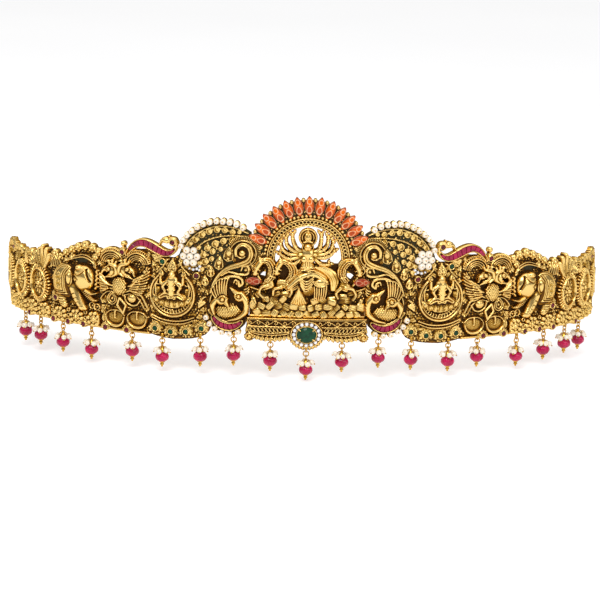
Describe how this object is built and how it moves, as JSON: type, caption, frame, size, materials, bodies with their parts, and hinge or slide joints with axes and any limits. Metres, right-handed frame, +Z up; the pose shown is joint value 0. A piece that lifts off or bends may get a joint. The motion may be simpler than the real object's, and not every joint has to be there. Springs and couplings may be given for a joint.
{
  "type": "oddiyanam waist belt",
  "caption": "Rigid oval waist belt with a tall ornate front half of cast relief plates, gem and pearl settings, a fringe of bead drops, and a plain band behind.",
  "frame": {"origin": "middle of the waist opening on its widest line, at the height of the lower edge of the side plates", "axes": "+X to the picture's right, the ornate front faces -Y, +Z up along the wearer's waist"},
  "size_m": [0.2986, 0.1658, 0.0885],
  "materials": {
    "gold": "antique gold, polished on the high points and dark in the recesses",
    "ruby": "opaque magenta red ruby, polished",
    "emerald": "dark green, polished",
    "enamel": "orange enamel with cream lines, glossy",
    "white_stone": "small white cut stones",
    "pearl": "white pearl, soft sheen"
  },
  "bodies": {
    "root": {"centre_arch": "gold", "goddess_figure": "gold", "base_rail": "gold", "wing_panel_left": "gold", "wing_panel_right": "gold", "ruby_crest_frame_left": "gold", "ruby_crest_frame_right": "gold", "bird_panel_left": "gold", "bird_panel_right": "gold", "elephant_panel_left": "gold", "elephant_panel_right": "gold", "wheel_panel_left": "gold", "wheel_panel_right": "gold", "end_panel_left": "gold", "end_panel_right": "gold", "back_band_left": "gold", "back_band_right": "gold", "clasp": "gold", "drop_rings": "gold", "drop_caps": "gold", "crown_petals": "enamel", "centre_emerald": "emerald", "halo_stones": "white_stone", "bezel_emeralds": "emerald", "bezel_rubies": "ruby", "ruby_crest_left": "ruby", "ruby_crescent_left": "ruby", "border_pearls_left": "pearl", "flower_pearls_left": "pearl", "crescent_pearls_left": "pearl", "ruby_crest_right": "ruby", "ruby_crescent_right": "ruby", "border_pearls_right": "pearl", "flower_pearls_right": "pearl", "crescent_pearls_right": "pearl", "drop_pearls": "pearl", "ruby_bead_01": "ruby", "ruby_bead_02": "ruby", "ruby_bead_03": "ruby", "ruby_bead_04": "ruby", "ruby_bead_05": "ruby", "ruby_bead_06": "ruby", "ruby_bead_07": "ruby", "ruby_bead_08": "ruby", "ruby_bead_09": "ruby", "ruby_bead_10": "ruby", "ruby_bead_11": "ruby", "ruby_bead_12": "ruby", "ruby_bead_13": "ruby", "ruby_bead_14": "ruby", "ruby_bead_15": "ruby", "ruby_bead_16": "ruby", "ruby_bead_17": "ruby", "ruby_bead_18": "ruby", "ruby_bead_19": "ruby"}
  },
  "joints": []
}
